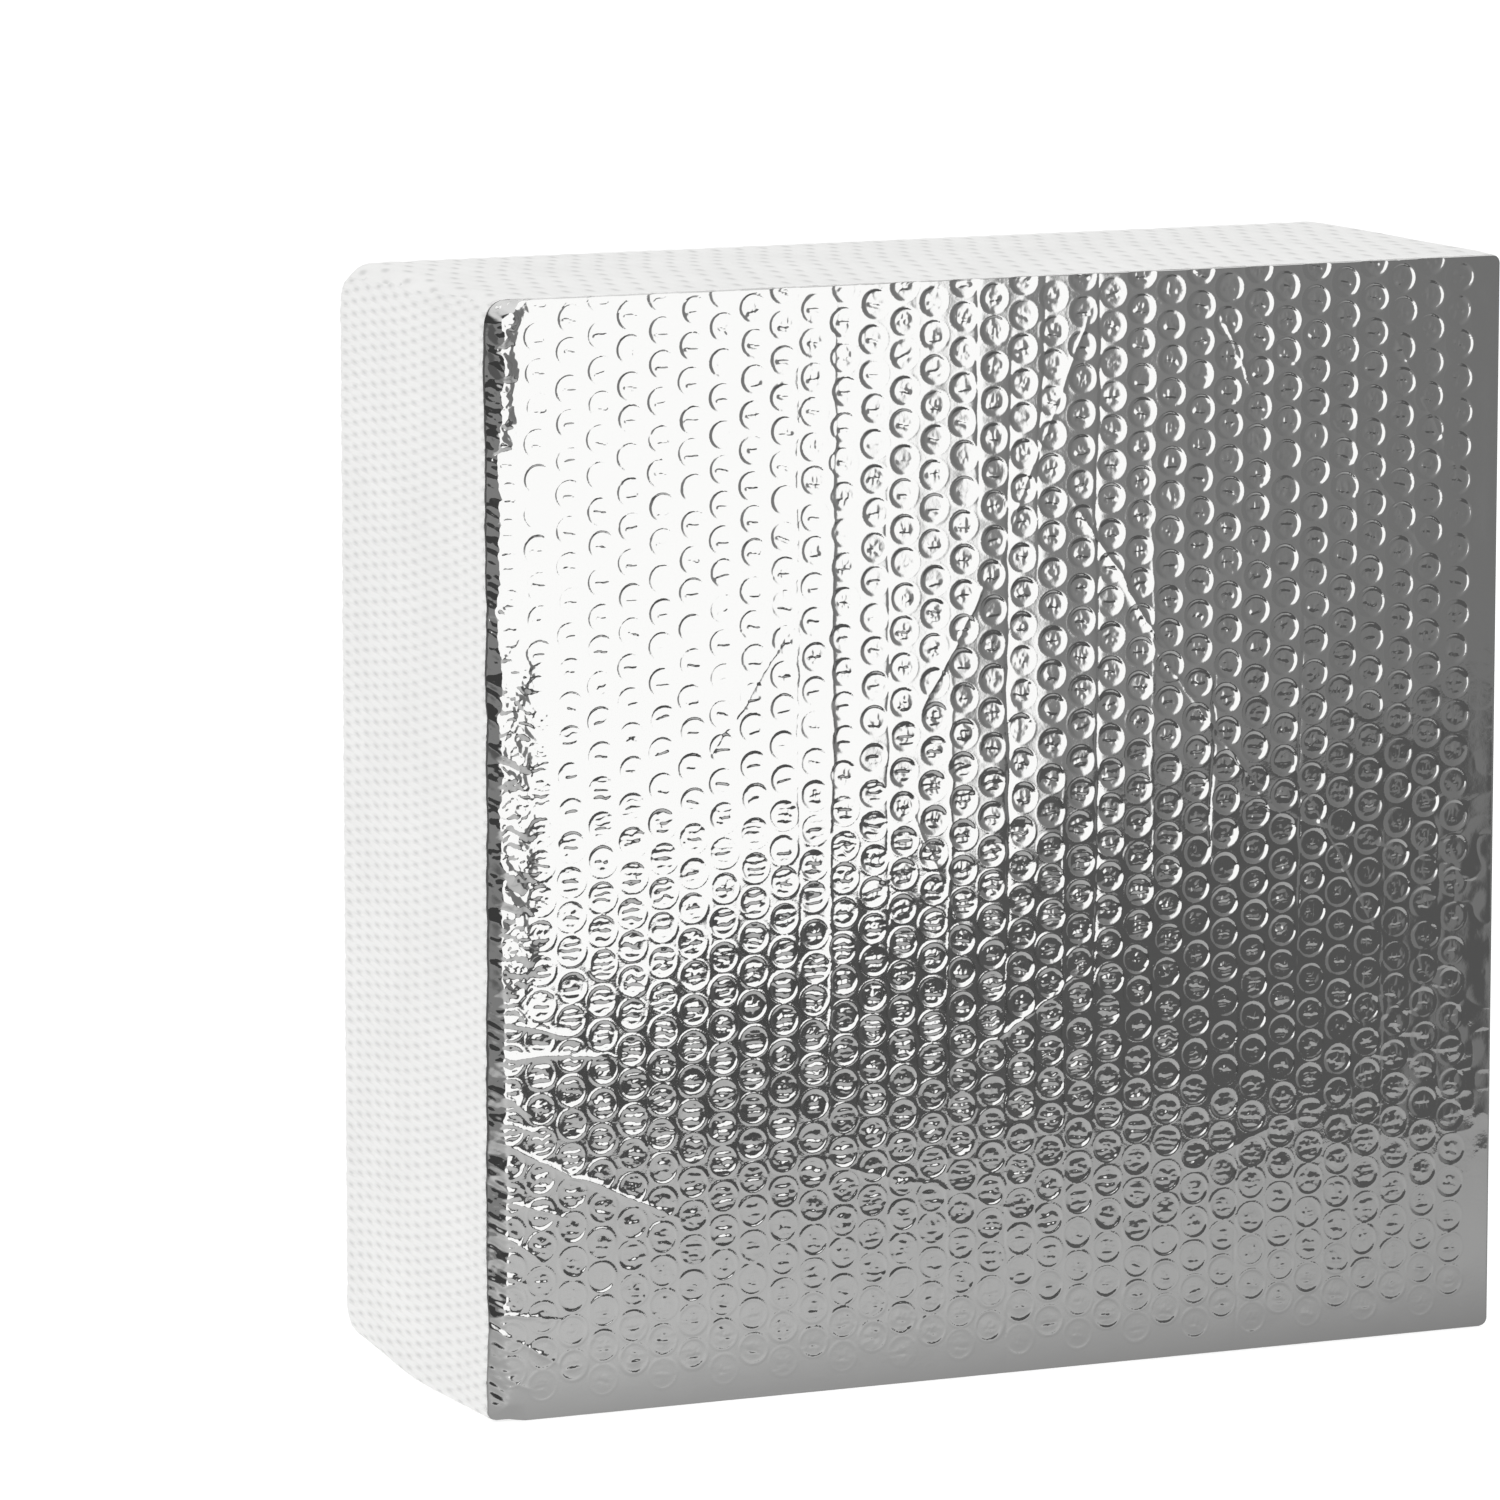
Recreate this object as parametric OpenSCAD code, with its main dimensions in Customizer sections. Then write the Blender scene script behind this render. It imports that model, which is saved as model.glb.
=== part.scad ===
// Reflective roof-vent insulating pad: a thick foam block in a sewn white nonwoven cover,
// with a foil and air-bubble laminate as its front face.
// X runs across the pad, Y from the foil face (-Y) to the back (+Y), Z up.
// The origin is the middle of the edge-on base that the pad stands on.

/* [Pad] */
// Width across the foil face, outside the cover
pad_w = 356; // [250:1:450]
// Height of the foil face, outside the cover
pad_h = 356; // [250:1:450]
// Depth from the tops of the bubbles to the back of the cover
pad_d = 127; // [60:1:160]
// Radius of the four edges that run from front to back
corner_r = 8; // [6:0.5:20]

/* [Cover] */
// Thickness of the nonwoven cloth
cloth_t = 0.8; // [0.5:0.1:1.2]
// Width of the edges turned in at every seam
seam_w = 8; // [5:0.5:12]
// Thickness of the seam thread, drawn as one square run
thread_t = 0.6; // [0.4:0.1:1]
// Gap where the two ends of the side band meet
joint_gap = 0.3; // [0.2:0.1:0.8]
// Place of that joint along the base, from the middle of the pad
joint_x = 70; // [-80:1:80]

/* [Foil] */
// Thickness of the aluminised foil facing
foil_t = 0.2; // [0.1:0.05:0.4]
// Clearance between the wall of a bubble and the foil drawn over it
foil_fit = 0.15; // [0.1:0.05:0.3]

/* [Bubble film] */
// Thickness of the formed film and of its flat backing
film_t = 0.3; // [0.2:0.05:0.5]
// Diameter of one bubble, outside the film
bubble_d = 9.6; // [7:0.1:10]
// Height of the foil over a bubble above the foil between the bubbles
bubble_h = 1.6; // [1.2:0.1:3]
// Distance between the bubbles of one upright column
row_pitch = 11.1; // [11:0.1:14]
// Distance between neighbouring columns, which are offset by half a pitch
column_pitch = 10.45; // [10.2:0.05:13]
// From the left side of the pad to the middle of the first column
first_column = 6.6; // [6.6:0.1:15]
// From the top of the pad to the middle of the highest full row
first_row = 6.6; // [6.6:0.1:15]
// Flat strip kept free of bubbles along the right side
right_margin = 3.5; // [2:0.5:20]
// Flat strip kept free of bubbles along the base
base_margin = 9.5; // [2:0.5:20]
// Flat land kept between a bubble and the turned edge of the foil
edge_land = 0.2; // [0.1:0.1:1]

/* [Hidden] */
arc_fn = 96;
bubble_fn = 32;
through = 1;

// Depths at which the layers lie, front to back
cap_y = -pad_d / 2;
web_y = cap_y + bubble_h;
film_y = web_y + foil_t;
backing_y = film_y + film_t;
core_y = backing_y + film_t;
back_y = pad_d / 2;
lining_y = back_y - cloth_t;

// How far in from the outside of the cover each layer of the sewn edges starts
hem_in = cloth_t;
rim_in = 2 * cloth_t;
front_in = rim_in + foil_t;
back_in = rim_in + cloth_t;

// Bubbles
foil_cap_r = bubble_d / 2 + foil_fit + foil_t;
columns = floor((pad_w - first_column - right_margin - foil_cap_r) / column_pitch);
rows = floor((pad_h - first_row - base_margin - foil_cap_r) / row_pitch);

// Distance from a point of the face to the rounded outline of the pad, positive inside it
function edge_distance(x, z) =
    let (qx = abs(x) - pad_w / 2 + corner_r)
    let (qz = abs(z - pad_h / 2) - pad_h / 2 + corner_r)
    corner_r - norm([max(qx, 0), max(qz, 0)]) - min(max(qx, qz), 0);

bubble_centres = [
    for (column = [0 : columns])
        for (row = [0 : rows])
            let (x = -pad_w / 2 + first_column + column * column_pitch)
            let (z = pad_h - first_row - (row + (column % 2) / 2) * row_pitch)
            if (z - foil_cap_r >= base_margin
                && edge_distance(x, z) >= foil_cap_r + hem_in + edge_land)
                [x, z]
];

// Outline of the pad seen from the front, drawn in by the given amount
module outline(inset) {
    r = max(corner_r - inset, 0.5);
    w = pad_w - 2 * inset;
    h = pad_h - 2 * inset;
    square([w - 2 * r, h], center = true);
    square([w, h - 2 * r], center = true);
    for (x = [-1, 1], z = [-1, 1])
        translate([x * (w / 2 - r), z * (h / 2 - r)])
            circle(r, $fn = arc_fn);
}

// A slab of that outline from one depth to another
module slab(front, back, inset) {
    translate([0, back, pad_h / 2])
        rotate([90, 0, 0])
            linear_extrude(back - front)
                outline(inset);
}

// A wall that runs round the pad, between two insets
module wall(front, back, outer, inner) {
    translate([0, back, pad_h / 2])
        rotate([90, 0, 0])
            linear_extrude(back - front)
                difference() {
                    outline(outer);
                    outline(inner);
                }
}

// A round post on every bubble, from one depth to another
module bubbles(front, back, r) {
    for (at = bubble_centres)
        translate([at[0], back, at[1]])
            rotate([90, 0, 0])
                cylinder(h = back - front, r = r, $fn = bubble_fn);
}

// The strip under the joint of the side band, on the inside of the base
module joint_strip(half_width, low, high, front, back) {
    translate([joint_x - half_width, front, low])
        cube([2 * half_width, back - front, high - low]);
}

// Polyurethane foam block, stepped where the turned edges and threads press into it
module foam_core() {
    color("#f4e9c8")
        difference() {
            union() {
                slab(core_y + thread_t, lining_y - thread_t, back_in);
                slab(core_y, core_y + thread_t + through, front_in + thread_t);
                slab(core_y + thread_t, web_y + seam_w + through, front_in);
                slab(web_y + seam_w, back_y - seam_w, hem_in);
                slab(lining_y - thread_t - through, lining_y, back_in + thread_t);
            }
            joint_strip(seam_w, 0, rim_in, web_y + seam_w, back_y - seam_w);
            joint_strip(thread_t / 2, 0, rim_in + thread_t, web_y + seam_w, back_y - seam_w);
        }
}

// Boxing strip of the cover: one strip round all four sides, its long edges and ends turned in
module side_band() {
    color("#f5f5f3")
        difference() {
            union() {
                wall(web_y, back_y, 0, hem_in);
                wall(film_y, web_y + seam_w, 0, rim_in);
                wall(back_y - seam_w, lining_y, 0, rim_in);
                joint_strip(seam_w, hem_in / 2, rim_in, web_y + seam_w, back_y - seam_w);
            }
            joint_strip(joint_gap / 2, -through, rim_in + through, web_y - through, back_y + through);
        }
}

// Square back of the cover, its edge turned in and sewn to the band
module back_panel() {
    color("#f2f2f0") {
        slab(lining_y, back_y, hem_in);
        wall(back_y - seam_w, lining_y + cloth_t / 2, rim_in, back_in);
    }
}

// Foil drawn down over the bubbles, its edge turned in and sewn to the band
module foil_facing() {
    color("#c9cbcd")
        difference() {
            union() {
                slab(web_y, film_y, hem_in);
                wall(web_y + foil_t / 2, web_y + seam_w, rim_in, front_in);
                bubbles(cap_y, film_y, foil_cap_r);
            }
            bubbles(cap_y + foil_t, film_y + through, foil_cap_r - foil_t);
        }
}

// Polyethylene film formed into rows of air bubbles
module bubble_film() {
    color("#dfe6ea")
        difference() {
            union() {
                slab(film_y, backing_y, front_in);
                bubbles(cap_y + foil_t, film_y, bubble_d / 2);
            }
            bubbles(cap_y + foil_t + film_t, backing_y + through, bubble_d / 2 - film_t);
        }
}

// Flat film that closes the bubbles from behind
module bubble_backing() {
    color("#d5dde2")
        slab(backing_y, core_y, front_in);
}

// Thread of the seam round the foil face
module front_seam_thread() {
    color("white")
        wall(core_y, core_y + thread_t, front_in, front_in + thread_t);
}

// Thread of the seam round the back panel
module back_seam_thread() {
    color("white")
        wall(lining_y - thread_t, lining_y, back_in, back_in + thread_t);
}

// Thread that closes the side band into a loop
module band_seam_thread() {
    color("white")
        joint_strip(thread_t / 2, rim_in, rim_in + thread_t, web_y + seam_w, back_y - seam_w);
}

foam_core();
side_band();
back_panel();
foil_facing();
bubble_film();
bubble_backing();
front_seam_thread();
back_seam_thread();
band_seam_thread();
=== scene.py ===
import math
import bmesh
import bpy
import numpy as np
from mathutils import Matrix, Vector
from mathutils.kdtree import KDTree


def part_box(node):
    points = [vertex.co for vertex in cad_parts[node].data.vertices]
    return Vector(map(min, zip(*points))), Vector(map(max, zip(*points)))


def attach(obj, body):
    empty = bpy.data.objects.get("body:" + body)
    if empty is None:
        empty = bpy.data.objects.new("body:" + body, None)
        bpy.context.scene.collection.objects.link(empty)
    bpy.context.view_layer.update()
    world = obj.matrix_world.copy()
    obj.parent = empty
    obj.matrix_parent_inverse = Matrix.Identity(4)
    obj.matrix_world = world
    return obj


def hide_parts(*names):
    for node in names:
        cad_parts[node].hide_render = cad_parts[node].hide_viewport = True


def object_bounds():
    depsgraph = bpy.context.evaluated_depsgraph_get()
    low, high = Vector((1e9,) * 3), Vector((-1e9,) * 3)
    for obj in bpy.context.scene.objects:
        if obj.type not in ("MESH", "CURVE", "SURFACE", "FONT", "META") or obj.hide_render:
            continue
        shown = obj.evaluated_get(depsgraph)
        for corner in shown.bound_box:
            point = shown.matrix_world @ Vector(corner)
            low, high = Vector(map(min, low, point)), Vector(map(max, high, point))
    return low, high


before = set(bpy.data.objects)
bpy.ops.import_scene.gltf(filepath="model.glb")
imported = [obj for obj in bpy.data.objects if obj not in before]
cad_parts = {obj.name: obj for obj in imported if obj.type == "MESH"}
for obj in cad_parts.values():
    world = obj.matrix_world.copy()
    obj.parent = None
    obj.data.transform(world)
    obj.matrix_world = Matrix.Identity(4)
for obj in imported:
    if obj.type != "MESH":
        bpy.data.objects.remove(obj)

# Roof vent insulating pad: foam block, white nonwoven cover, foil and bubble film on the front.
# Sizes below are in millimetres; meshes are made in metres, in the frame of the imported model.
mm = 0.001

cadLow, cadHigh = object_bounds()
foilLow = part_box("foil_facing")[0]

pad = {
    "width": (cadHigh.x - cadLow.x) / mm,
    "height": (cadHigh.z - cadLow.z) / mm,
    "capY": foilLow.y / mm,  # tops of the bubbles
    "backY": cadHigh.y / mm,
    "bubbleRise": 1.0,  # how far a cap stands in front of the foil between the bubbles
}
pad["webY"] = pad["capY"] + pad["bubbleRise"]

# Corner radii of the outline, front and back: top left, top right, bottom right, bottom left
corners = {
    "front": (8, 3, 3, 3),
    "back": (12, 6, 6, 13),
}


def linear(colour):
    # sRGB hex to the linear values that the shader works in
    parts = [int(colour[i:i + 2], 16) / 255 for i in (1, 3, 5)]
    return [c / 12.92 if c <= 0.04045 else ((c + 0.055) / 1.055) ** 2.4 for c in parts] + [1]


def smooth(low, high, value):
    t = np.clip((value - low) / (high - low), 0, 1)
    return t * t * (3 - 2 * t)


def softNoise(x, z, size, seed):
    # smooth noise from -1 to 1 whose lumps are about size across
    table = np.random.default_rng(seed).uniform(-1, 1, (64, 64))
    u, v = x / size + 1000, z / size + 1000
    i, j = np.floor(u).astype(int), np.floor(v).astype(int)
    fu, fv = u - i, v - j
    fu, fv = fu * fu * (3 - 2 * fu), fv * fv * (3 - 2 * fv)
    a = table[i % 64, j % 64] * (1 - fu) + table[(i + 1) % 64, j % 64] * fu
    b = table[i % 64, (j + 1) % 64] * (1 - fu) + table[(i + 1) % 64, (j + 1) % 64] * fu
    return a * (1 - fv) + b * fv


def addPiece(name, data):
    piece = bpy.data.objects.new(name, data)
    bpy.context.scene.collection.objects.link(piece)
    return piece


def standFor(piece, node):
    # the piece rides with the pad and takes the place of one CAD node
    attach(piece, "root")
    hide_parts(node)


def meshFromQuads(name, points, quads, material, uv=None):
    mesh = bpy.data.meshes.new(name)
    points, quads = np.asarray(points, np.float32), np.asarray(quads, np.int32)
    mesh.vertices.add(len(points))
    mesh.vertices.foreach_set("co", (points * mm).ravel())
    mesh.loops.add(quads.size)
    mesh.loops.foreach_set("vertex_index", quads.ravel())
    mesh.polygons.add(len(quads))
    mesh.polygons.foreach_set("loop_start", np.arange(0, quads.size, 4, dtype=np.int32))
    mesh.polygons.foreach_set("use_smooth", np.ones(len(quads), bool))
    mesh.update(calc_edges=True)
    if uv is not None:
        layer = mesh.uv_layers.new(name="cloth")
        layer.data.foreach_set("uv", (np.asarray(uv, np.float32) * mm).ravel())
    mesh.materials.append(material)
    mesh.validate()
    return addPiece(name, mesh)


def gridQuads(rows, columns, start=0, closed=False, flip=False):
    # quads of a grid of points stored row by row; closed joins the last column to the first
    r = np.arange(rows - 1)[:, None]
    c = np.arange(columns if closed else columns - 1)[None, :]
    a, b = r * columns + c, r * columns + (c + 1) % columns
    quads = np.stack([a, b, b + columns, a + columns], -1).reshape(-1, 4) + start
    return quads[:, ::-1] if flip else quads


def addNode(tree, kind, settings=None, links=None):
    # one node with its settings (socket values or attributes) and what feeds its sockets
    node = tree.nodes.new(kind)
    for name, value in (settings or {}).items():
        if isinstance(name, int) or name in node.inputs:
            node.inputs[name].default_value = value
        else:
            setattr(node, name, value)
    for name, source in (links or {}).items():
        tree.links.new(source, node.inputs[name])
    return node


def newMaterial(name):
    material = bpy.data.materials.new(name)
    material.use_nodes = True
    material.node_tree.nodes.clear()
    return material, material.node_tree


def finishMaterial(tree, shader):
    addNode(tree, "ShaderNodeOutputMaterial", links={"Surface": shader})


def cornerRadii(depth):
    # radii at a depth, 0 at the foil face and 1 at the back
    blend = float(smooth(0.45, 1, np.array(depth)))
    return [f + (b - f) * blend for f, b in zip(corners["front"], corners["back"])]


def edgeDistance(x, z, radii):
    # distance to the rounded outline, positive inside it
    right, top = x > 0, z > pad["height"] / 2
    r = np.where(top, np.where(right, radii[1], radii[0]), np.where(right, radii[2], radii[3]))
    qx = np.abs(x) - pad["width"] / 2 + r
    qz = np.abs(z - pad["height"] / 2) - pad["height"] / 2 + r
    return r - np.hypot(np.maximum(qx, 0), np.maximum(qz, 0)) - np.minimum(np.maximum(qx, qz), 0)


def outlineLoop(inset, radii, perSide, perCorner, start=0.0):
    # points round the outline, clockwise from the front, from a place on the base
    half, height = pad["width"] / 2 - inset, pad["height"]
    low, high = inset, height - inset
    r = [max(v - inset, 0.6) for v in radii]
    arcs = [  # centre, first angle, for bottom left, top left, top right, bottom right
        (-half + r[3], low + r[3], 270, r[3]),
        (-half + r[0], high - r[0], 180, r[0]),
        (half - r[1], high - r[1], 90, r[1]),
        (half - r[2], low + r[2], 0, r[2]),
    ]
    points = []
    ends = []
    for cx, cz, first, radius in arcs:
        turn = np.radians(first - np.linspace(0, 90, perCorner))
        ends.append(np.stack([cx + radius * np.cos(turn), cz + radius * np.sin(turn)], 1))
    base = np.array([[start, low]])
    points.append(np.linspace(base[0], ends[0][0], perSide // 2, endpoint=False))
    for k in range(4):
        points.append(ends[k])
        if k < 3:
            points.append(np.linspace(ends[k][-1], ends[k + 1][0], perSide, endpoint=False)[1:])
    points.append(np.linspace(ends[3][-1], base[0], perSide // 2, endpoint=False)[1:])
    return np.concatenate(points)


def aluminisedFilm():
    # vacuum-metallised film: a true mirror metal, blurred a little by its fine crinkle
    material, tree = newMaterial("aluminisedFilm")
    place = addNode(tree, "ShaderNodeTexCoord")
    crinkle = addNode(tree, "ShaderNodeTexNoise", {"Scale": 1 / (1.3 * mm), "Detail": 2.0,
                                                   "Roughness": 0.6}, {"Vector": place.outputs["Object"]})
    haze = addNode(tree, "ShaderNodeTexNoise", {"Scale": 1 / (45 * mm), "Detail": 2.0},
                   {"Vector": place.outputs["Object"]})
    rough = addNode(tree, "ShaderNodeMapRange", {"To Min": 0.045, "To Max": 0.085},
                    {"Value": haze.outputs["Fac"]})
    bump = addNode(tree, "ShaderNodeBump", {"Strength": 0.4, "Distance": 0.05 * mm},
                   {"Height": crinkle.outputs["Fac"]})
    metal = addNode(tree, "ShaderNodeBsdfPrincipled", {"Base Color": linear("#ebebea"), "Metallic": 1.0},
                    {"Roughness": rough.outputs["Result"], "Normal": bump.outputs["Normal"]})
    finishMaterial(tree, metal.outputs["BSDF"])
    return material


clothWeave = {
    "pitch": 17.0,  # between bond points along a row
    "row": 1.95,  # between rows
    "dashLength": 6.4,
    "dashWidth": 1.3,
    # on the top, seen at a low angle, the pattern is coarser and runs across, to stay readable
    "topPitch": 8.3,
    "topRow": 13.0,
}


def spunbondCloth():
    # spunbonded polypropylene: matt white fibres pressed flat at staggered bond points
    material, tree = newMaterial("spunbondCloth")
    uv = addNode(tree, "ShaderNodeUVMap", {"uv_map": "cloth"})
    place = addNode(tree, "ShaderNodeTexCoord")
    wobble = addNode(tree, "ShaderNodeTexNoise", {"Scale": 1 / (6 * mm), "Detail": 1.0},
                     {"Vector": uv.outputs["UV"]})
    centred = addNode(tree, "ShaderNodeVectorMath", {"operation": "SUBTRACT", 1: (0.5, 0.5, 0.5)},
                      {0: wobble.outputs["Color"]})
    moved = addNode(tree, "ShaderNodeVectorMath", {"operation": "MULTIPLY_ADD", 1: (1.6 * mm, 0.7 * mm, 0)},
                    {0: centred.outputs[0], 2: uv.outputs["UV"]})
    parts = addNode(tree, "ShaderNodeSeparateXYZ", links={"Vector": moved.outputs[0]})

    # rows of dashes, every other row set off by half a pitch
    row = addNode(tree, "ShaderNodeMath", {"operation": "DIVIDE", 1: clothWeave["row"] * mm},
                  {0: parts.outputs["Y"]})
    whole = addNode(tree, "ShaderNodeMath", {"operation": "FLOOR"}, {0: row.outputs[0]})
    odd = addNode(tree, "ShaderNodeMath", {"operation": "MODULO", 1: 2}, {0: whole.outputs[0]})
    run = addNode(tree, "ShaderNodeMath", {"operation": "DIVIDE", 1: clothWeave["pitch"] * mm},
                  {0: parts.outputs["X"]})
    shifted = addNode(tree, "ShaderNodeMath", {"operation": "MULTIPLY_ADD", 1: 0.5},
                      {0: odd.outputs[0], 2: run.outputs[0]})
    squares = []
    for value, scale in ((shifted, clothWeave["pitch"] / clothWeave["dashLength"]),
                          (row, clothWeave["row"] / clothWeave["dashWidth"])):
        part = addNode(tree, "ShaderNodeMath", {"operation": "FRACT"}, {0: value.outputs[0]})
        middle = addNode(tree, "ShaderNodeMath", {"operation": "SUBTRACT", 1: 0.5}, {0: part.outputs[0]})
        sized = addNode(tree, "ShaderNodeMath", {"operation": "MULTIPLY", 1: 2 * scale},
                        {0: middle.outputs[0]})
        square = addNode(tree, "ShaderNodeMath", {"operation": "POWER", 1: 2}, {0: sized.outputs[0]})
        squares.append(square.outputs[0])
    total = addNode(tree, "ShaderNodeMath", {"operation": "ADD"}, {0: squares[0], 1: squares[1]})
    reach = addNode(tree, "ShaderNodeMath", {"operation": "SQRT"}, {0: total.outputs[0]})
    dash = addNode(tree, "ShaderNodeMapRange", {"interpolation_type": "SMOOTHSTEP", "From Min": 1.2,
                                                "From Max": 0.1}, {"Value": reach.outputs[0]})
    fibres = addNode(tree, "ShaderNodeTexNoise", {"Scale": 1 / (0.9 * mm), "Detail": 3.0, "Roughness": 0.7},
                     {"Vector": place.outputs["Object"]})
    pillow = addNode(tree, "ShaderNodeMapRange", {"interpolation_type": "SMOOTHSTEP", "From Min": 0.2,
                                                  "From Max": 2.2}, {"Value": reach.outputs[0]})
    height = addNode(tree, "ShaderNodeMath", {"operation": "MULTIPLY_ADD", 1: 0.35},
                     {0: fibres.outputs["Fac"], 2: pillow.outputs["Result"]})
    bump = addNode(tree, "ShaderNodeBump", {"Strength": 1.0, "Distance": 0.42 * mm},
                   {"Height": height.outputs[0]})
    patch = addNode(tree, "ShaderNodeTexNoise", {"Scale": 1 / (28 * mm), "Detail": 2.0},
                    {"Vector": place.outputs["Object"]})
    plain = addNode(tree, "ShaderNodeMix",
                    {"data_type": "RGBA", 6: linear("#f7f7f6"), 7: linear("#ededec")},
                    {"Factor": patch.outputs["Fac"]})
    # the bond points are greyer: partly the more translucent film of the pressed fibres, partly painted
    # shade in their dimples
    bondGreyAndShade = addNode(tree, "ShaderNodeMath", {"operation": "MULTIPLY", 1: 0.75},
                     {0: dash.outputs["Result"]})
    shade = addNode(tree, "ShaderNodeMix", {"data_type": "RGBA", 7: linear("#cfcfce")},
                    {"Factor": bondGreyAndShade.outputs[0], 6: plain.outputs[2]})
    cloth = addNode(tree, "ShaderNodeBsdfPrincipled", {"Roughness": 0.82, "Specular IOR Level": 0.25,
                                                       "Sheen Weight": 0.08},
                    {"Base Color": shade.outputs[2], "Normal": bump.outputs["Normal"]})
    finishMaterial(tree, cloth.outputs["BSDF"])
    return material


def flexibleFoam():
    # open-cell polyurethane: dull cream, pitted with cells
    material, tree = newMaterial("flexibleFoam")
    place = addNode(tree, "ShaderNodeTexCoord")
    cells = addNode(tree, "ShaderNodeTexVoronoi", {"Scale": 1 / (1.1 * mm)},
                    {"Vector": place.outputs["Object"]})
    # darker in the middles of the cells, where the bump sinks: painted shade in the pits
    tone = addNode(tree, "ShaderNodeMix", {"data_type": "RGBA", 6: linear("#d9cb9e"), 7: linear("#f1e8cb")},
                   {"Factor": cells.outputs["Distance"]})
    bump = addNode(tree, "ShaderNodeBump", {"Strength": 0.8, "Distance": 0.4 * mm},
                   {"Height": cells.outputs["Distance"]})
    foam = addNode(tree, "ShaderNodeBsdfPrincipled", {"Roughness": 0.95, "Specular IOR Level": 0.15},
                   {"Base Color": tone.outputs[2], "Normal": bump.outputs["Normal"]})
    finishMaterial(tree, foam.outputs["BSDF"])
    return material


def blownPolyethylene():
    # blown polyethylene film: clear, slightly milky and slick
    material, tree = newMaterial("blownPolyethylene")
    place = addNode(tree, "ShaderNodeTexCoord")
    haze = addNode(tree, "ShaderNodeTexNoise", {"Scale": 1 / (12 * mm), "Detail": 2.0},
                   {"Vector": place.outputs["Object"]})
    rough = addNode(tree, "ShaderNodeMapRange", {"To Min": 0.18, "To Max": 0.34},
                    {"Value": haze.outputs["Fac"]})
    film = addNode(tree, "ShaderNodeBsdfPrincipled", {"Base Color": linear("#e3eaee"), "IOR": 1.51},
                   {"Roughness": rough.outputs["Result"]})
    finishMaterial(tree, film.outputs["BSDF"])
    return material


def spunPolyester():
    # spun polyester sewing thread: white, with the twist of its plies
    material, tree = newMaterial("spunPolyester")
    place = addNode(tree, "ShaderNodeTexCoord")
    twist = addNode(tree, "ShaderNodeTexWave", {"Scale": 1 / (2.2 * mm), "Distortion": 0.5},
                    {"Vector": place.outputs["Object"]})
    # darker in the grooves of the twist, where the bump sinks: painted shade between the plies
    tone = addNode(tree, "ShaderNodeMix", {"data_type": "RGBA", 6: linear("#dedddb"), 7: linear("#f6f6f5")},
                   {"Factor": twist.outputs["Fac"]})
    bump = addNode(tree, "ShaderNodeBump", {"Strength": 0.6, "Distance": 0.1 * mm},
                   {"Height": twist.outputs["Fac"]})
    thread = addNode(tree, "ShaderNodeBsdfPrincipled", {"Roughness": 0.6},
                     {"Base Color": tone.outputs[2], "Normal": bump.outputs["Normal"]})
    finishMaterial(tree, thread.outputs["BSDF"])
    return material


foilFinish = aluminisedFilm()
clothFinish = spunbondCloth()
foamFinish = flexibleFoam()
filmFinish = blownPolyethylene()
threadFinish = spunPolyester()
print("materials made")


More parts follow.
